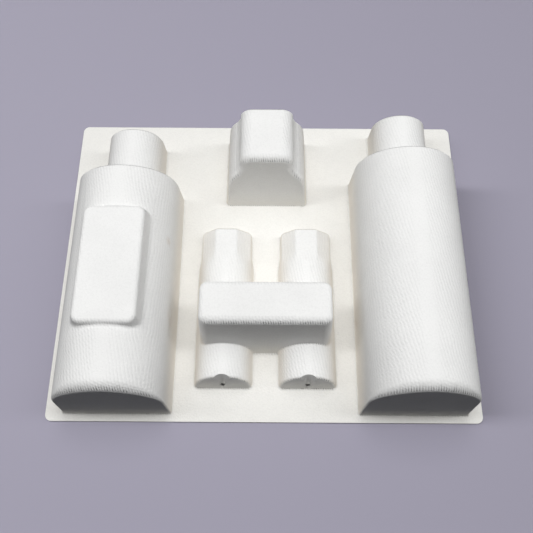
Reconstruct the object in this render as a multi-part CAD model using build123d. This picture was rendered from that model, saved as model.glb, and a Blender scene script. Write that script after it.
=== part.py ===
from build123d import *
import os
from math import atan2, cos, degrees, radians, sin, sqrt, tan

# Moulded pulp insert for a bottle shipper, lying on its flange with the pockets standing up.
# One thin-walled moulding: a flat flange, two deep bottle pockets with neck pockets, a pair of
# shallow pockets for small bottles, a jar pocket, and three raised pads that carry the load.
# Millimetres. X runs across the tray, Y from the front edge to the neck ends, Z up.
# The origin is the middle of the tray, on the underside of the flange.

WALL = 1.5
TRAY_CORNER = 4.5

# Draft of the mould, in degrees from upright
DRAFT_FRONT = 2.0
DRAFT_BACK = 6.5
DRAFT_SIDE = 2.5

# Softening of the outer skin: round over the front ends, bevels over the back ends and in creases
EDGE_FRONT = 8.0
BEVEL_BACK = 1.5
CREASE = 1.5

# Across the tray, from the left edge to the right edge
LEFT_MARGIN = 13.2
LEFT_GAP = 16.2
SMALL_PITCH = 58.6
RIGHT_GAP = 16.6
RIGHT_MARGIN = 11.4

# Along the tray, from the front edge to the back edge
DEEP_MARGIN = 5.5
NECK_MARGIN = 9.0
SMALL_MARGIN = 23.0
JAR_GAP = 26.7
JAR_MARGIN = 15.2

# Deep bottle pockets: outer radius, height of the axis, length along the flange
DEEP_RADIUS = 36.0
LEFT_AXIS = 29.0
LEFT_LENGTH = 167.3
RIGHT_AXIS = 33.5
RIGHT_LENGTH = 181.5

# Neck pockets behind them
NECK_RADIUS = 20.3
NECK_AXIS = 19.7
NECK_LENGTH = 44.0
RIGHT_NECK_SHIFT = 1.3

# Raised pad on the left pocket
PAD_START = 40.8
PAD_LENGTH = 92.7
PAD_WIDTH = 40.4
PAD_RISE = 3.5
PAD_DRAFT = 12.0
PAD_CORNER = 6.0
PAD_EDGE = 3.0
PAD_CREASE = 1.5

# Jar pocket at the back, with a square pad along its top
JAR_RADIUS = 28.5
JAR_AXIS = 23.5
JAR_LENGTH = 57.3
JAR_FRONT_DRAFT = 5.5
JAR_BACK_DRAFT = 8.0
JAR_SIDE_DRAFT = 5.0
JAR_PAD_RISE = 8.0
JAR_PAD_WIDTH = 38.0
JAR_RIM = 9.0
JAR_EDGE = 5.5
JAR_CREASE = 3.0

# Small bottle pockets with eight-sided necks
SMALL_RADIUS = 20.0
SMALL_AXIS = 2.0
SMALL_FRONT_DRAFT = 8.5
SMALL_EDGE = 2.0
SMALL_BODY_LENGTH = 87.5
SHOULDER_LENGTH = 11.0
SMALL_NECK_LENGTH = 19.3
NECK_FLATS = 36.8
NECK_RIDGE = 3.0

# Dent in the front end wall of each small pocket, deepest where it breaks the rim, and a pit at its foot
DENT_RADIUS = 10.0
DENT_LEAN = 16.5
PIT_WIDTH = 4.0
PIT_DEPTH = 2.5
PIT_HEIGHT = 8.0

# Finger box across the small pockets
BOX_START = 25.2
BOX_LENGTH = 40.1
BOX_FRONT_DRAFT = 6.5
BOX_REACH = 14.2
BOX_TOP = 56.5
BOX_CORNER = 5.5
BOX_EDGE = 3.5

# How far the forms reach below the flange before it is trimmed
BELOW = 4.0

# The tray is as wide as its columns of pockets, and as deep as the deepest column
SMALL_LENGTH = SMALL_BODY_LENGTH + SHOULDER_LENGTH + SMALL_NECK_LENGTH
TRAY_WIDTH = (
    LEFT_MARGIN + 2 * DEEP_RADIUS + LEFT_GAP + SMALL_PITCH + 2 * SMALL_RADIUS
    + RIGHT_GAP + 2 * DEEP_RADIUS + RIGHT_MARGIN
)
TRAY_DEPTH = max(
    DEEP_MARGIN + max(LEFT_LENGTH, RIGHT_LENGTH) + NECK_LENGTH + NECK_MARGIN,
    SMALL_MARGIN + SMALL_LENGTH + JAR_GAP + JAR_LENGTH + JAR_MARGIN,
)
LEFT_X = -TRAY_WIDTH / 2 + LEFT_MARGIN + DEEP_RADIUS
RIGHT_X = TRAY_WIDTH / 2 - RIGHT_MARGIN - DEEP_RADIUS
MIDDLE_X = LEFT_X + DEEP_RADIUS + LEFT_GAP + SMALL_RADIUS + SMALL_PITCH / 2
DEEP_FRONT = -TRAY_DEPTH / 2 + DEEP_MARGIN
SMALL_FRONT = -TRAY_DEPTH / 2 + SMALL_MARGIN
JAR_BACK = TRAY_DEPTH / 2 - JAR_MARGIN

# Leg of the bevel that stands for a round of radius 1
BEVEL = 2 - sqrt(2)


def wedge(front, back, depth, front_draft=DRAFT_FRONT, back_draft=DRAFT_BACK):
    """Space between the leaning end planes of a pocket, moved in by the depth of the skin."""
    front_lean, back_lean = radians(front_draft), radians(back_draft)
    high = TRAY_WIDTH / 2
    near = front + depth / cos(front_lean)
    far = back - depth / cos(back_lean)
    outline = Polyline(
        (near - BELOW * tan(front_lean), -BELOW),
        (far + BELOW * tan(back_lean), -BELOW),
        (far - high * tan(back_lean), high),
        (near + high * tan(front_lean), high),
        close=True,
    )
    return extrude(Plane.YZ * make_face(outline), amount=TRAY_WIDTH, both=True)


def section(outline, x, y=0):
    """Face across the tray at y, drawn about x."""
    return Pos(0, y, 0) * (Plane.XZ * Pos(x, 0) * make_face(outline))


def run(outline, x, space):
    """Section run along the tray, kept where it lies in the given space."""
    return extrude(section(outline, x), amount=TRAY_DEPTH, both=True) & space


def arch(radius, axis, depth, draft=DRAFT_SIDE):
    """Half-round section on drafted flanks."""
    lean = radians(draft)
    radius = radius - depth
    foot = (radius + (axis + BELOW) * sin(lean)) / cos(lean)
    side, spring = radius * cos(lean), axis + radius * sin(lean)
    return [
        Line((-foot, -BELOW), (foot, -BELOW)),
        Line((foot, -BELOW), (side, spring)),
        ThreePointArc((side, spring), (0, axis + radius), (-side, spring)),
        Line((-side, spring), (-foot, -BELOW)),
    ]


def block(width, top, depth, draft=DRAFT_SIDE):
    """Flat-topped section on drafted sides; the width is taken at the top."""
    lean = radians(draft)
    top = top - depth
    half = width / 2 + depth * tan(lean) - depth / cos(lean)
    foot = half + (top + BELOW) * tan(lean)
    return [
        Line((-foot, -BELOW), (foot, -BELOW)),
        Line((foot, -BELOW), (half, top)),
        Line((half, top), (-half, top)),
        Line((-half, top), (-foot, -BELOW)),
    ]


def round_over(form, radius, edges, depth):
    """Round outer edges; inside, a flat bevel keeps the wall about even."""
    if depth == 0:
        return form.fillet(radius, edges)
    return form.chamfer(BEVEL * (radius - depth), None, edges)


def bevel_back(form, depth):
    """Bevel the edge where a pocket turns over into its back end wall."""
    return form.chamfer(BEVEL_BACK - BEVEL * depth, None, rim_of(form, False))


def rim_of(form, front):
    """Edges where a form turns over into its front or back end wall."""
    wall = form.faces().sort_by(Axis.Y)[0 if front else -1]
    return wall.edges().filter_by(lambda e: e.center().Z > 0)


def seat(leg, depth, *forms):
    """Join forms, with a bevel in the inner corners where they meet."""
    whole = forms[0]
    for form in forms[1:]:
        whole = whole + form
    creases = new_edges(*forms, combined=whole).filter_by(lambda e: e.center().Z > -BELOW)
    return whole.chamfer(leg + BEVEL * depth, None, creases)


def deep_pocket(x, axis, length, depth):
    """Pocket for the body of a large bottle."""
    form = run(arch(DEEP_RADIUS, axis, depth), x, wedge(DEEP_FRONT, DEEP_FRONT + length, depth))
    form = round_over(form, EDGE_FRONT, rim_of(form, True), depth)
    return bevel_back(form, depth)


def neck_pocket(x, length, depth):
    """Pocket for the neck and cap of a large bottle, starting inside the body pocket."""
    start = DEEP_FRONT + length - DEEP_RADIUS
    space = wedge(start, DEEP_FRONT + length + NECK_LENGTH, depth)
    return bevel_back(run(arch(NECK_RADIUS, NECK_AXIS, depth), x, space), depth)


def round_block(form, corner, edge, depth):
    """Round the four upright corners of a block, and soften its top edge."""
    upright = form.edges().filter_by(lambda e: abs(e.tangent_at(0.5).Z) > 0.8)
    form = form.fillet(corner - depth, upright)
    return round_over(form, edge, form.faces().sort_by(Axis.Z)[-1].edges(), depth)


def raised_pad(depth):
    """Flat pad that brings the left pocket up towards the height of the right one."""
    outline = block(PAD_WIDTH, LEFT_AXIS + DEEP_RADIUS + PAD_RISE, depth, PAD_DRAFT)
    start = DEEP_FRONT + PAD_START
    form = run(outline, LEFT_X, wedge(start, start + PAD_LENGTH, depth))
    return round_block(form, PAD_CORNER, PAD_EDGE, depth)


def jar_pocket(depth):
    """Round pocket for a jar, with a square pad along its top."""
    space = wedge(JAR_BACK - JAR_LENGTH, JAR_BACK, depth, JAR_FRONT_DRAFT, JAR_BACK_DRAFT)
    body = run(arch(JAR_RADIUS, JAR_AXIS, depth, JAR_SIDE_DRAFT), MIDDLE_X, space)
    pad = run(block(JAR_PAD_WIDTH, JAR_AXIS + JAR_RADIUS + JAR_PAD_RISE, depth), MIDDLE_X, space)
    form = body + pad
    valley = new_edges(body, pad, combined=form).filter_by(Axis.Y)
    form = form.chamfer(JAR_CREASE + BEVEL * depth, None, valley)
    rim = form.faces().sort_by(Axis.Z)[-1].edges().filter_by(Axis.Y)
    form = round_over(form, JAR_RIM, rim, depth)
    form = round_over(form, JAR_EDGE, rim_of(form, True), depth)
    return bevel_back(form, depth)


def polar(radius, angle, centre=(0, SMALL_AXIS)):
    """Point at an angle from upright about a centre in a small pocket's section."""
    return centre[0] + radius * sin(radians(angle)), centre[1] + radius * cos(radians(angle))


def outline_through(stops, bows):
    """Outline through stops from the right flank to the crown, mirrored, on drafted flanks.

    A bow is a point on the arc to the next stop, or None where that stretch is straight.
    """
    def flip(point):
        return None if point is None else (-point[0], point[1])

    stops = stops + [flip(point) for point in reversed(stops)]
    bows = bows + [flip(point) for point in reversed(bows[:-1])]
    foot = stops[0][0] + (stops[0][1] + BELOW) * tan(radians(DRAFT_SIDE))
    edges = [Line((-foot, -BELOW), (foot, -BELOW)), Line((foot, -BELOW), stops[0])]
    for start, bow, end in zip(stops, bows, stops[1:]):
        edges.append(ThreePointArc(start, bow, end) if bow else Line(start, end))
    return edges + [Line(stops[-1], (-foot, -BELOW))]


def small_sections(depth):
    """Outlines of a small pocket's round body and eight-sided neck, with as many edges in each."""
    flat, ridge, radius = NECK_FLATS / 2 - depth, NECK_RIDGE - depth, SMALL_RADIUS - depth
    stops, bows = [polar(flat, 90 - DRAFT_SIDE)], []
    for low, high in ((90 - DRAFT_SIDE, 45), (45, 0)):
        middle = (low + high) / 2
        centre = polar((flat - ridge) / cos(radians(low - middle)), middle)
        stops += [polar(ridge, low, centre), polar(ridge, high, centre)]
        bows += [None, polar(ridge, middle, centre)]
    neck = outline_through(stops, bows + [None])
    angles = [degrees(atan2(x, z - SMALL_AXIS)) for x, z in stops]
    halfway = [(a + b) / 2 for a, b in zip(angles, angles[1:])] + [0]
    body = outline_through([polar(radius, a) for a in angles], [polar(radius, a) for a in halfway])
    return body, neck


def small_pocket(x, depth):
    """Shallow pocket for a small bottle: round body, lofted shoulder and eight-sided neck."""
    body_end = SMALL_FRONT + SMALL_BODY_LENGTH
    neck_start = body_end + SHOULDER_LENGTH
    space = wedge(SMALL_FRONT, neck_start + SMALL_NECK_LENGTH, depth, SMALL_FRONT_DRAFT)
    body_outline, neck_outline = small_sections(depth)
    body_face = section(arch(SMALL_RADIUS, SMALL_AXIS, depth), x, body_end)
    neck_face = section(neck_outline, x, neck_start)
    body = extrude(body_face, amount=TRAY_DEPTH, dir=(0, -1, 0)) & space
    neck = extrude(neck_face, amount=TRAY_DEPTH, dir=(0, 1, 0)) & space
    body = round_over(body, SMALL_EDGE, rim_of(body, True), depth)
    neck = bevel_back(neck, depth)
    shoulder = loft([section(body_outline, x, body_end), neck_face], ruled=True)
    return body + shoulder + neck


def small_wall(height):
    """Where the front end wall of a small pocket is at a height."""
    return SMALL_FRONT + height * tan(radians(SMALL_FRONT_DRAFT))


def dent(x, depth):
    """Round bar that presses a dent into the end wall of a small pocket, from the pit up."""
    bar = Cylinder(DENT_RADIUS + depth, TRAY_WIDTH, align=(Align.CENTER, Align.CENTER, Align.MIN))
    lean = Pos(x, small_wall(PIT_HEIGHT), PIT_HEIGHT) * Rot(X=-DENT_LEAN)
    return lean * Pos(0, -DENT_RADIUS, -PIT_WIDTH / 2) * bar


def pit(x, depth):
    """Eight-sided punch that presses a pit into the end wall, at the foot of the dent."""
    floor = small_wall(PIT_HEIGHT) + PIT_DEPTH + depth
    face = Plane.XZ.offset(-floor) * Pos(x, PIT_HEIGHT) * RegularPolygon(PIT_WIDTH / 2 + depth, 8)
    return extrude(face, amount=2 * PIT_DEPTH)


def finger_box(depth):
    """Tall box across both small pockets, so that fingers reach round the bottles."""
    start = SMALL_FRONT + BOX_START
    outline = block(SMALL_PITCH + 2 * BOX_REACH, BOX_TOP, depth)
    form = run(outline, MIDDLE_X, wedge(start, start + BOX_LENGTH, depth, BOX_FRONT_DRAFT))
    return round_block(form, BOX_CORNER, BOX_EDGE, depth)


def skin(depth):
    """One side of the moulding as a solid: slab and pockets, with their inner corners bevelled."""
    outline = RectangleRounded(TRAY_WIDTH + 4 * depth, TRAY_DEPTH + 4 * depth, TRAY_CORNER)
    slab = Pos(0, 0, WALL - depth) * extrude(outline, amount=-2 * BELOW)
    left = deep_pocket(LEFT_X, LEFT_AXIS, LEFT_LENGTH, depth)
    left = seat(CREASE, depth, left, neck_pocket(LEFT_X, LEFT_LENGTH, depth))
    left = seat(PAD_CREASE, depth, left, raised_pad(depth))
    right = deep_pocket(RIGHT_X, RIGHT_AXIS, RIGHT_LENGTH, depth)
    right_neck = neck_pocket(RIGHT_X + RIGHT_NECK_SHIFT, RIGHT_LENGTH, depth)
    right = seat(CREASE, depth, right, right_neck)
    columns = [MIDDLE_X - SMALL_PITCH / 2, MIDDLE_X + SMALL_PITCH / 2]
    smalls = [small_pocket(x, depth) for x in columns]
    box = finger_box(depth)
    whole = seat(CREASE, depth, *smalls, box)
    for form in [left, right, jar_pocket(depth), box, *smalls]:
        whole = whole + seat(CREASE, depth, slab, form)
    for x in columns:
        whole = whole - dent(x, depth) - pit(x, depth)
    return whole


insert = skin(0) - skin(WALL)
os.makedirs("parts", exist_ok=True)
export_step(insert, "parts/pulp_insert.step")
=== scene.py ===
import math

import bpy
from mathutils import Matrix


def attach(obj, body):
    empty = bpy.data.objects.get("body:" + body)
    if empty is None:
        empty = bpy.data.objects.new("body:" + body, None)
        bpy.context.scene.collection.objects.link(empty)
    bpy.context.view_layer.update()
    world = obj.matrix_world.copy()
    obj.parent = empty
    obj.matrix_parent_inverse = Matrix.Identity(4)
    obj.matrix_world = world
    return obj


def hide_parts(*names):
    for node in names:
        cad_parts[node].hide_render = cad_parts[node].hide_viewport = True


bl_info = {
    "name": "Moulded Pulp Insert",
    "version": (1, 0, 0),
    "blender": (4, 5, 0),
    "location": "View3D > Sidebar > Pulp Insert",
    "description": "Finishes a moulded pulp bottle insert and sets it on a studio floor",
    "category": "Object",
}

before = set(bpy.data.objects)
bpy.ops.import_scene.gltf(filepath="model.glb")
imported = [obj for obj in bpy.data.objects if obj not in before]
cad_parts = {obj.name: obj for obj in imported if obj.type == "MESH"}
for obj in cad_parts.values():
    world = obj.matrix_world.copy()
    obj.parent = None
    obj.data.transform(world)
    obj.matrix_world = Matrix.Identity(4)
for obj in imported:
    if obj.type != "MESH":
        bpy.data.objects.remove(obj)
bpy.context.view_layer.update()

NODE = "pulp_insert"
MM = 0.001

# Shape, in millimetres and radians

# Front corners that the mould presses tight at the foot and rounds off over the crown: middle of
# the pocket, height of its axis, radius, front edge on the flange, leans of its front wall and of
# its flanks in degrees, rounding of the solid, and rounding at the foot
CORNERS = (
    (-100.8, 29.0, 36.0, -114.5, 2.0, 2.5, 8.0, 1.2),
    (102.6, 33.5, 36.0, -114.5, 2.0, 2.5, 8.0, 1.2),
    (0.7, 23.5, 28.5, 47.5, 5.5, 5.0, 9.0, 4.0),
)
# How far up the crown the tight rounding fades out
CORNER_FADE = math.radians(70)
# A point belongs to a corner when it lies no further than these past the ends of the rounding,
# inside it and outside it, which leaves out the inner skin
CORNER_PAST, CORNER_INSIDE, CORNER_OUTSIDE = 0.1, 0.4, 2.0

# Finger box: middle, half the width of its zone, front and back of the zone, top, rounding of the
# solid's rim, rounding of the front rim, lean of the front wall, and how far its rim stands out
BOX_MIDDLE, BOX_HALF = 0.7, 50.0
BOX_ZONE = (-73.0, -60.0)
BOX_TOP = 56.5
BOX_RIM, BOX_FRONT_RIM = 3.5, 5.2
BOX_LEAN = math.radians(6.5)
BOX_OUT = 1.2
# Upward part of a normal below which a point is on the inner skin, and the least level part that
# gives a direction
INNER_SKIN = -0.2
LEAST_LEVEL = 0.01

# Dents in the front walls of the small pockets: middles, then the box that holds their edges
DENT_MIDDLES = (-28.6, 30.0)
DENT_HALF = 7.5
DENT_LOW = (-98.0, 14.0)
DENT_HIGH = (-89.0, 23.0)

# Faces that meet at more than this are a sharp edge, at less than this one flat face, and points
# nearer than this are one point; large faces have this much say in the normals, out of 100
SHARP = math.radians(50)
DENT_SHARP = math.radians(14)
FLAT = math.radians(0.3)
MERGE = 0.002 * MM
FLAT_WEIGHT = 90

# Surface of the pulp, in millimetres

# Marks with the radius of each: the third is a place where the dryer scorched the pulp; the first
# two lie low on the flanks that face the middle valley and are painted warm shade
SCORCHES_AND_PAINTED_SHADE = (
    ((-65.0, -54.0, 27.0), 13.0),
    ((66.6, -49.0, 10.0), 11.0),
    ((-67.0, -3.0, 42.0), 5.0),
)

# Heights over which ivory turns to white, partly the pulp's own tone and partly painted bounce
# light that is warmer low down, and over which the painted warm shade fades in towards the foot of
# the walls
WHITE_ABOVE = (2.0 * MM, 24.0 * MM)
PAINTED_SHADE_BELOW = (44.0 * MM, 8.0 * MM)

# Directions that the ribs are counted along: over the crowns, down the flanks and across the
# twill; then how far they wander, in radians of their wave, and the size of a bend
WIRE_OVER = (1.0, 0.22, 0.0)
WIRE_DOWN = (0.0, 0.08, 1.0)
TWILL = (0.75, 1.0, 1.0)
RIB_DRIFT = 9.0
BEND_SIZE = 17.0

# Part of the rib's wave that counts as a gap between two teeth
TOOTH_GAP = (-0.4, 1.0)

# Zone of the pad on the left pocket, whose teeth and their painted shade are fainter: its right
# edge and its front, each with the line where the zone is full, and its share of the teeth
PAD_RIGHT = (-70.0 * MM, -75.0 * MM)
PAD_FRONT = (-95.0 * MM, -90.0 * MM)
PAD_TEETH = 0.3

# Parts of the surface normal over which a mask fades from 0 to 1. Of its sideways part: the
# flanks, where the wires turn down
FLANK = (0.55, 0.8)
# Of its upward part: steep walls, all that isn't flat, and the rims where the teeth may start
STEEP = (0.9, 0.3)
CURVED = (0.9995, 0.985)
TEETH_ABOVE = (0.29, 0.36)
# Of its part to the front: all but the front walls, and the front edges from their two sides
OFF_FRONT = (0.95, 0.6)
TEETH_START = (0.5, 0.93)
TEETH_END = (0.985, 0.965)

# Mottles: size of a clump, range of the noise that is used, and the values that it becomes.
# Patches make the wires and their painted shade come and go, smears thin out the scorch mark and
# the marks of painted shade, and breaks the teeth; clouds are as large as a thumb
NOISE_DETAIL = 3.0
PATCHES = (34.0, (0.35, 0.65), (0.45, 1.0))
SMEARS = (7.0, (0.2, 0.8), (0.0, 0.5))
BREAKS = (5.0, (0.3, 0.6), (0.35, 1.0))
CLOUDS = (26.0, (0.3, 0.7), (0.97, 1.0))
SPECKS = (1.1, (0.3, 0.6), (0.96, 1.0))

# Dry pulp scatters nearly all light. Cellulose has an IOR of 1.47, and loose fibre a little less
ROUGHNESS = 0.92
IOR = 1.4
SPECULAR = 0.25

# Stage, in metres unless named otherwise

# The floor, and where it turns up into an evenly lit backdrop, measured from the middle
FLOOR_SIZE = 8.0
SWEEP = (0.35, 0.9)
# The floor as the moulding sees it, so that little light comes back up from it
BOUNCE = "#4A4A50"
# Lamps: place over the floor, width and depth; the last one lights the floor alone
LAMPS = (
    ("strip", (0.0, 0.0), 4.2, 0.3),
    ("softbox", (0.0, 0.37), 0.6, 0.8),
    ("floor_strip", (-1.2, 0.0), 1.4, 0.3),
)
# Width of the camera's sensor in millimetres, and the nearest distance that it sees
SENSOR_WIDTH = 36.0
CLIP_START = 0.01

# Settings of Map Range and Mix nodes
SOFT = {"interpolation_type": "SMOOTHSTEP"}
COLOUR = {"data_type": "RGBA"}


def linear(colour):
    """A hex colour, as a designer writes it, as the linear values that shaders take."""
    parts = [int(colour[i:i + 2], 16) / 255 for i in (1, 3, 5)]
    return [c / 12.92 if c <= 0.04045 else ((c + 0.055) / 1.055) ** 2.4 for c in parts] + [1.0]


def per_mm(size):
    """Texture scale at which one feature of a noise is the given number of millimetres wide."""
    return 1 / (size * MM)


def feed(tree, target, inputs):
    """Fill inputs of a shader node, each with a value, a socket or a node's own result."""
    for socket, value in inputs.items():
        if isinstance(value, bpy.types.Node):
            value = next(output for output in value.outputs if output.enabled)
        if isinstance(value, bpy.types.NodeSocket):
            tree.links.new(value, target.inputs[socket])
        else:
            target.inputs[socket].default_value = value


def node(tree, kind, inputs=None, **settings):
    """Add a shader node with its settings and links."""
    made = tree.nodes.new("ShaderNode" + kind)
    for name, value in settings.items():
        setattr(made, name, value)
    feed(tree, made, inputs or {})
    return made


def span(value, ends, onto=(0.0, 1.0)):
    """Inputs of a Map Range node that takes a value from one range to another."""
    return {0: value, 1: ends[0], 2: ends[1], 3: onto[0], 4: onto[1]}


def select(thing):
    """Select one object alone and make it the active one."""
    bpy.ops.object.select_all(action="DESELECT")
    thing.select_set(True)
    bpy.context.view_layer.objects.active = thing


def smooth(value, low, high):
    """0 below one limit and 1 above the other, with a soft step between them."""
    share = min(max((value - low) / (high - low), 0.0), 1.0)
    return share * share * (3 - 2 * share)


def tighten(mesh, middle, axis, radius, front, front_lean, side_lean, rounding, foot_rounding):
    """Move the points of a front corner so that its rounding shrinks from the crown to the foot."""
    lean = math.radians(side_lean)
    for vertex in mesh.vertices:
        x, y, z = (c / MM for c in vertex.co)
        side = math.copysign(1.0, x - middle)
        across, rise = abs(x - middle), max(z - axis, 0.0)
        distance = math.hypot(across, rise)
        flank = radius if rise else (radius + (axis - z) * math.sin(lean)) / math.cos(lean)
        inward = rounding - (flank - distance)
        forward = rounding - (y - front - z * math.tan(math.radians(front_lean)))
        reach = math.hypot(inward, forward)
        if min(inward, forward) < -CORNER_PAST:
            continue
        if not -CORNER_INSIDE < reach - rounding < CORNER_OUTSIDE:
            continue
        less = (rounding - foot_rounding) * (1 - smooth(math.atan2(rise, across), 0.0, CORNER_FADE))
        push = less * (1 - inward / reach)
        vertex.co.x += side * push * across / distance * MM
        vertex.co.z += push * rise / distance * MM
        vertex.co.y -= less * (1 - forward / reach) * MM


def soften_box(mesh):
    """Round the front rim of the finger box more, and bring the rim forward a little."""
    normals = [vertex.normal.copy() for vertex in mesh.vertices]
    for vertex, normal in zip(mesh.vertices, normals):
        x, y, z = (c / MM for c in vertex.co)
        if abs(x - BOX_MIDDLE) > BOX_HALF or not BOX_ZONE[0] < y < BOX_ZONE[1] or z < BOX_RIM:
            continue
        vertex.co.y -= BOX_OUT * z / BOX_TOP * MM
        level = normal.xy
        drop = BOX_TOP - z
        if normal.z < INNER_SKIN or drop > BOX_RIM or level.length < LEAST_LEVEL or level.y > 0:
            continue
        level.normalize()
        depth = BOX_RIM - math.sqrt(BOX_RIM ** 2 - (BOX_RIM - drop) ** 2)
        more = (BOX_FRONT_RIM / BOX_RIM - 1) * level.y ** 2
        inward = (depth - drop * math.tan(BOX_LEAN)) * more
        vertex.co.x -= level.x * inward * MM
        vertex.co.y -= level.y * inward * MM
        vertex.co.z -= drop * more * MM


def crease_dents(mesh):
    """Mark the edges of the dents as sharp, so that each keeps its own shade."""
    normals = {}
    for face in mesh.polygons:
        for key in face.edge_keys:
            normals.setdefault(key, []).append(face.normal)
    for edge in mesh.edges:
        first, second = (mesh.vertices[index].co for index in edge.vertices)
        x, y, z = (first + second) / 2 / MM
        pair = normals[edge.key]
        near = any(abs(x - middle) < DENT_HALF for middle in DENT_MIDDLES)
        if near and DENT_LOW[0] < y < DENT_HIGH[0] and DENT_LOW[1] < z < DENT_HIGH[1]:
            if len(pair) == 2 and pair[0].angle(pair[1]) > DENT_SHARP:
                edge.use_edge_sharp = True


class PulpFinish(bpy.types.PropertyGroup):
    """Colours, painted shade and surface of the moulded pulp; lengths are in millimetres."""

    white: bpy.props.StringProperty(
        name="Crown White", description="Colour of the pads and the high crowns",
        default="#F2F2F1")
    ivory: bpy.props.StringProperty(
        name="Flange Ivory", description="Colour of the flange", default="#EFEEEA")
    # Painted shade: a darker, warmer tint at the foot of the steep walls that stands in for shade
    # and warm light bounced between the walls
    painted_valley_shade: bpy.props.StringProperty(
        name="Painted Valley Shade", description="Colour low on the walls, where the pulp dried last",
        default="#EEE9E1")
    # The toast is a real scorch mark at one place, and painted warm shade at the two marks low on
    # the flanks that face the middle valley
    toast_and_painted_shade: bpy.props.StringProperty(
        name="Toast and Painted Shade", description="Colour of the marks where the dryer scorched the pulp",
        default="#DACDBF")
    wire_pitch: bpy.props.FloatProperty(
        name="Wire Pitch", description="Spacing of the wires along the pockets",
        default=2.1, min=0.5)
    wire_relief: bpy.props.FloatProperty(
        name="Wire Relief", description="Height that the wires leave in the pulp",
        default=0.1, min=0.0)
    # Painted shade in the gaps between the wires
    painted_wire_shade: bpy.props.FloatProperty(
        name="Wire Shade", description="How much darker the gaps between the wires are",
        default=0.07, min=0.0, max=1.0)
    twill_pitch: bpy.props.FloatProperty(
        name="Twill Pitch", description="Spacing of the slanting ribs of the wire cloth",
        default=1.9, min=0.5)
    twill_relief: bpy.props.FloatProperty(
        name="Twill Relief", description="Height that the slanting ribs leave in the pulp",
        default=0.06, min=0.0)
    tooth_pitch: bpy.props.FloatProperty(
        name="Tooth Pitch",
        description="Spacing of the teeth where the wires turn over a front edge",
        default=1.55, min=0.5)
    tooth_relief: bpy.props.FloatProperty(
        name="Tooth Relief", description="Depth of the gaps between the teeth",
        default=0.2, min=0.0)
    # Painted shade in the gaps between the teeth on the front rims, where the light grazes them
    painted_tooth_shade: bpy.props.FloatProperty(
        name="Tooth Shade", description="How much darker the gaps between the teeth are",
        default=0.55, min=0.0, max=1.0)
    fibre_size: bpy.props.FloatProperty(
        name="Fibre Size", description="Size of the clumps of fibre", default=1.3, min=0.1)
    fibre_relief: bpy.props.FloatProperty(
        name="Fibre Relief", description="Height of the clumps of fibre",
        default=0.22, min=0.0)


class StageSettings(bpy.types.PropertyGroup):
    """Floor, lamps and camera."""

    floor: bpy.props.StringProperty(
        name="Floor", description="Paint of the studio floor", default="#928F9D")
    backdrop: bpy.props.StringProperty(
        name="Backdrop", description="Colour of the backdrop that the floor turns into",
        default="#A3A0B0")
    lamp_height: bpy.props.FloatProperty(
        name="Lamp Height", description="Height of the lamps over the floor",
        default=1.5, unit="LENGTH")
    strip: bpy.props.FloatProperty(
        name="Strip Power", description="Power of the long strip light overhead",
        default=29.0, min=0.0, unit="POWER")
    softbox: bpy.props.FloatProperty(
        name="Softbox Power", description="Power of the softbox behind the strip",
        default=7.2, min=0.0, unit="POWER")
    floor_strip: bpy.props.FloatProperty(
        name="Floor Strip Power",
        description="Power of the strip on the left that lights the floor alone",
        default=16.0, min=0.0, unit="POWER")
    room: bpy.props.FloatProperty(
        name="Room Light", description="Strength of the even light from the room",
        default=0.05, min=0.0)
    lens: bpy.props.FloatProperty(
        name="Lens", description="Focal length of the camera",
        default=44.58, min=1.0, unit="CAMERA")
    place: bpy.props.FloatVectorProperty(
        name="Camera Place", description="Where the camera stands",
        default=(0.001433, -0.200166, 0.457512), unit="LENGTH")
    elevation: bpy.props.FloatProperty(
        name="Elevation", description="How steeply the camera looks down",
        default=math.radians(66.75), unit="ROTATION")
    azimuth: bpy.props.FloatProperty(
        name="Azimuth", description="Turn of the camera about the vertical",
        default=math.radians(0.11), unit="ROTATION")
    roll: bpy.props.FloatProperty(
        name="Roll", description="Turn of the camera about its own line of sight",
        default=math.radians(0.27), unit="ROTATION")


def mottle(tree, place, size, ends, onto):
    """Soft clumps of the given number of millimetres, kept between two values."""
    clumps = node(tree, "TexNoise", {
        "Vector": place, "Scale": per_mm(size), "Detail": NOISE_DETAIL,
    })
    return node(tree, "MapRange", span(clumps, ends, onto), **SOFT)


def ribs(tree, place, direction, pitch):
    """Sine ribs a pitch apart, measured along a direction, that wander a little."""
    length = math.hypot(*direction)
    along = node(tree, "VectorMath", {
        0: place, 1: [d / length * 2 * math.pi / (pitch * MM) for d in direction],
    }, operation="DOT_PRODUCT")
    bends = node(tree, "TexNoise", {
        "Vector": place, "Scale": per_mm(BEND_SIZE), "Detail": NOISE_DETAIL,
    })
    drift = node(tree, "Math", {0: bends, 1: RIB_DRIFT}, operation="MULTIPLY")
    wave = node(tree, "Math", {0: along, 1: drift}, operation="ADD")
    return node(tree, "Math", {0: wave}, operation="SINE")


def draped(tree, place, flank, pitch):
    """Ribs that run along the crowns and turn down the flanks with the cloth."""
    over = ribs(tree, place, WIRE_OVER, pitch)
    down = ribs(tree, place, WIRE_DOWN, pitch)
    return node(tree, "Mix", {0: flank, 2: over, 3: down})


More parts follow.
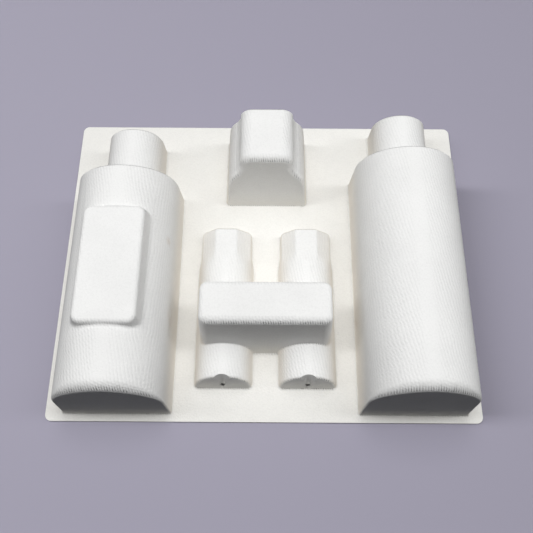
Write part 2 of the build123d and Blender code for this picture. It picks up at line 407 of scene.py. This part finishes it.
def moulded_pulp(finish):
    """Bleached sugar-cane pulp, drawn onto twilled wire cloth and pressed dry on heated moulds.

    To the eye it is matt and chalky, with the ribs of the wire cloth pressed into it and a felt of
    short fibres. It is drawn whiter high up and warmer low down, partly the flange's own ivory and
    partly painted bounce light, with painted shade at the foot of the walls and in the gaps
    between the wires and the teeth. Wire cloth is woven at about half a millimetre, which is too
    fine to show, so its ribs are drawn three to four times as coarse.
    """
    material = bpy.data.materials.new("moulded_pulp")
    material.use_nodes = True
    tree = material.node_tree
    coordinates = node(tree, "TexCoord")
    place = coordinates.outputs["Object"]
    right, back, height = node(tree, "SeparateXYZ", {0: place}).outputs
    facing = node(tree, "SeparateXYZ", {0: coordinates.outputs["Normal"]})
    facing_right, facing_back, facing_up = facing.outputs
    sideways = node(tree, "Math", {0: facing_right}, operation="ABSOLUTE")
    front = node(tree, "Math", {0: facing_back, 1: -1.0}, operation="MULTIPLY")
    flank = node(tree, "MapRange", span(sideways, FLANK), **SOFT)
    off_front = node(tree, "MapRange", span(front, OFF_FRONT), **SOFT)

    # Colour: ivory flange turning white up the crowns, partly the pulp's tone and partly painted
    # bounce light; painted warm shade at the foot of the walls; one scorch mark and two marks of
    # painted warm shade on the flanks
    high = node(tree, "MapRange", span(height, WHITE_ABOVE), **SOFT)
    tone = node(tree, "Mix", {
        0: high, 6: linear(finish.ivory), 7: linear(finish.white),
    }, **COLOUR)
    foot = off_front
    for mask in (
        node(tree, "MapRange", span(facing_up, STEEP), **SOFT),
        node(tree, "MapRange", span(height, PAINTED_SHADE_BELOW), **SOFT),
    ):
        foot = node(tree, "Math", {0: foot, 1: mask}, operation="MULTIPLY")
    tone = node(tree, "Mix", {0: foot, 6: tone, 7: linear(finish.painted_valley_shade)}, **COLOUR)
    smear = mottle(tree, place, *SMEARS)
    for centre, radius in SCORCHES_AND_PAINTED_SHADE:
        away = node(tree, "VectorMath", {
            0: place, 1: [c * MM for c in centre],
        }, operation="DISTANCE")
        near = node(tree, "MapRange", span(away, (radius * MM, 0.0)), **SOFT)
        mark = node(tree, "Math", {0: near, 1: smear}, operation="MULTIPLY")
        tone = node(tree, "Mix", {0: mark, 6: tone, 7: linear(finish.toast_and_painted_shade)}, **COLOUR)

    # Wires that run along the pockets and down the flanks, and the twill across them
    cloth = off_front
    for mask in (
        node(tree, "MapRange", span(facing_up, CURVED), **SOFT),
        mottle(tree, place, *PATCHES),
    ):
        cloth = node(tree, "Math", {0: cloth, 1: mask}, operation="MULTIPLY")
    wires = node(tree, "Math", {
        0: cloth, 1: draped(tree, place, flank, finish.wire_pitch),
    }, operation="MULTIPLY")
    twill = node(tree, "Math", {
        0: cloth, 1: ribs(tree, place, TWILL, finish.twill_pitch),
    }, operation="MULTIPLY")

    # Teeth where the wires turn over the front edges, fainter on the pad; their gaps carry relief
    # and painted shade
    on_pad = node(tree, "Math", {
        0: node(tree, "MapRange", span(right, PAD_RIGHT), **SOFT),
        1: node(tree, "MapRange", span(back, PAD_FRONT), **SOFT),
    }, operation="MULTIPLY")
    teeth = draped(tree, place, flank, finish.tooth_pitch)
    gaps = node(tree, "MapRange", span(teeth, TOOTH_GAP), **SOFT)
    for mask in (
        node(tree, "MapRange", span(front, TEETH_START), **SOFT),
        node(tree, "MapRange", span(front, TEETH_END), **SOFT),
        node(tree, "MapRange", span(facing_up, TEETH_ABOVE), **SOFT),
        mottle(tree, place, *BREAKS),
        node(tree, "MapRange", span(on_pad, (0.0, 1.0), (1.0, PAD_TEETH)), **SOFT),
    ):
        gaps = node(tree, "Math", {0: gaps, 1: mask}, operation="MULTIPLY")

    # Clouds and specks of tone, and painted shade in the gaps of the wires and of the teeth
    for share in (
        mottle(tree, place, *CLOUDS),
        mottle(tree, place, *SPECKS),
        node(tree, "MapRange", span(wires, (0.0, -1.0), (1.0, 1.0 - finish.painted_wire_shade))),
        node(tree, "MapRange", span(gaps, (0.0, 1.0), (1.0, 1.0 - finish.painted_tooth_shade))),
    ):
        tone = node(tree, "Mix", {0: 1.0, 6: tone, 7: share}, blend_type="MULTIPLY", **COLOUR)

    # Relief: wires, twill, teeth and fibres, each laid over the ones before
    fibres = node(tree, "TexNoise", {
        "Vector": place, "Scale": per_mm(finish.fibre_size), "Detail": NOISE_DETAIL,
    })
    under = {}
    for relief, pattern in (
        (finish.wire_relief / 2, wires),
        (finish.twill_relief / 2, twill),
        (-finish.tooth_relief, gaps),
        (finish.fibre_relief, fibres),
    ):
        bump = node(tree, "Bump", {
            "Height": pattern, "Strength": 1.0, "Distance": relief * MM, **under,
        })
        under = {"Normal": bump}

    feed(tree, tree.nodes["Principled BSDF"], {
        "Base Color": tone, "Roughness": ROUGHNESS, "IOR": IOR, "Specular IOR Level": SPECULAR,
        **under,
    })
    return material


def studio_floor(paint, backdrop):
    """Painted card sweep; the eye sees a plain matt lilac grey that holds soft shadows."""
    material = bpy.data.materials.new("painted_card")
    material.use_nodes = True
    tree = material.node_tree
    tree.nodes.remove(tree.nodes["Principled BSDF"])
    seen = node(tree, "LightPath").outputs["Is Camera Ray"]
    place = node(tree, "TexCoord").outputs["Object"]
    away = node(tree, "VectorMath", {0: place}, operation="LENGTH")
    pale = node(tree, "MixShader", {
        0: node(tree, "MapRange", span(away, SWEEP), **SOFT),
        1: node(tree, "BsdfDiffuse", {"Color": linear(paint)}),
        2: node(tree, "Emission", {"Color": linear(backdrop)}),
    })
    dim = node(tree, "BsdfDiffuse", {"Color": linear(BOUNCE)})
    card = node(tree, "MixShader", {0: seen, 1: dim, 2: pale})
    feed(tree, tree.nodes["Material Output"], {"Surface": card})
    return material


class PULP_OT_finish_insert(bpy.types.Operator):
    """Tighten and smooth the moulding and give it its pulp surface"""

    bl_idname = "pulp.finish_insert"
    bl_label = "Finish Insert"

    def execute(self, context):
        select(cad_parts[NODE])
        bpy.ops.object.duplicate()
        moulding = context.object
        moulding.name = "moulding"
        bpy.ops.object.mode_set(mode="EDIT")
        bpy.ops.mesh.select_all(action="SELECT")
        bpy.ops.mesh.remove_doubles(threshold=MERGE)
        bpy.ops.mesh.dissolve_limited(angle_limit=FLAT)
        bpy.ops.object.mode_set(mode="OBJECT")
        for corner in CORNERS:
            tighten(moulding.data, *corner)
        soften_box(moulding.data)
        bpy.ops.object.shade_smooth_by_angle(angle=SHARP)
        crease_dents(moulding.data)
        bpy.ops.object.modifier_add(type="WEIGHTED_NORMAL")
        weighting = moulding.modifiers[-1]
        weighting.keep_sharp = True
        weighting.weight = FLAT_WEIGHT
        bpy.ops.object.modifier_apply(modifier=weighting.name)
        moulding.data.materials.clear()
        moulding.data.materials.append(moulded_pulp(context.scene.pulp_finish))
        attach(moulding, "root")
        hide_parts(NODE)
        return {"FINISHED"}


class PULP_OT_set_stage(bpy.types.Operator):
    """Lay the floor, hang the lamps and place the camera"""

    bl_idname = "pulp.set_stage"
    bl_label = "Set Stage"

    def execute(self, context):
        scene = context.scene
        stage = scene.pulp_stage
        bpy.ops.mesh.primitive_plane_add(size=FLOOR_SIZE, location=(0, 0, 0))
        floor = context.object
        floor.name = "floor"
        floor.data.materials.append(studio_floor(stage.floor, stage.backdrop))

        for name, (x, y), width, depth in LAMPS:
            bpy.ops.object.light_add(type="AREA", location=(x, y, stage.lamp_height))
            lamp = context.object
            lamp.name = name
            lamp.data.shape = "RECTANGLE"
            lamp.data.size, lamp.data.size_y = width, depth
            lamp.data.energy = getattr(stage, name)
            lamp.visible_camera = False
        floor_only = bpy.data.collections.new("floor_only")
        floor_only.objects.link(floor)
        lamp.light_linking.receiver_collection = floor_only

        world = bpy.data.worlds.new("room")
        scene.world = world
        world.use_nodes = True
        tree = world.node_tree
        seen = node(tree, "LightPath").outputs["Is Camera Ray"]
        feed(tree, tree.nodes["Background"], {
            "Color": node(tree, "Mix", {
                0: seen, 6: linear("#FFFFFF"), 7: linear(stage.backdrop),
            }, **COLOUR),
            "Strength": node(tree, "MapRange", span(seen, (0.0, 1.0), (stage.room, 1.0))),
        })

        bpy.ops.object.camera_add()
        camera = context.object
        camera.data.lens = stage.lens
        camera.data.sensor_width = SENSOR_WIDTH
        camera.data.clip_start = CLIP_START
        turn = Matrix.Rotation(stage.azimuth, 4, "Z")
        tilt = Matrix.Rotation(math.pi / 2 - stage.elevation, 4, "X")
        roll = Matrix.Rotation(stage.roll, 4, "Z")
        camera.matrix_world = Matrix.Translation(stage.place) @ turn @ tilt @ roll
        scene.camera = camera
        scene.view_settings.view_transform = "Standard"
        return {"FINISHED"}


class PULP_PT_sidebar(bpy.types.Panel):
    """Settings and steps of the insert, in the sidebar"""

    bl_label = "Pulp Insert"
    bl_idname = "PULP_PT_sidebar"
    bl_space_type = "VIEW_3D"
    bl_region_type = "UI"
    bl_category = "Pulp Insert"

    def draw(self, context):
        for group in (context.scene.pulp_finish, context.scene.pulp_stage):
            box = self.layout.box()
            for name in group.__annotations__:
                box.prop(group, name)
        for operator in OPERATORS:
            self.layout.operator(operator.bl_idname)


OPERATORS = (PULP_OT_finish_insert, PULP_OT_set_stage)
CLASSES = (PulpFinish, StageSettings) + OPERATORS + (PULP_PT_sidebar,)


def register():
    for item in CLASSES:
        bpy.utils.register_class(item)
    bpy.types.Scene.pulp_finish = bpy.props.PointerProperty(type=PulpFinish)
    bpy.types.Scene.pulp_stage = bpy.props.PointerProperty(type=StageSettings)


def unregister():
    del bpy.types.Scene.pulp_stage
    del bpy.types.Scene.pulp_finish
    for item in reversed(CLASSES):
        bpy.utils.unregister_class(item)


def main():
    register()
    bpy.ops.object.select_all(action="DESELECT")
    bpy.ops.pulp.finish_insert()
    bpy.ops.pulp.set_stage()


if __name__ == "__main__":
    main()
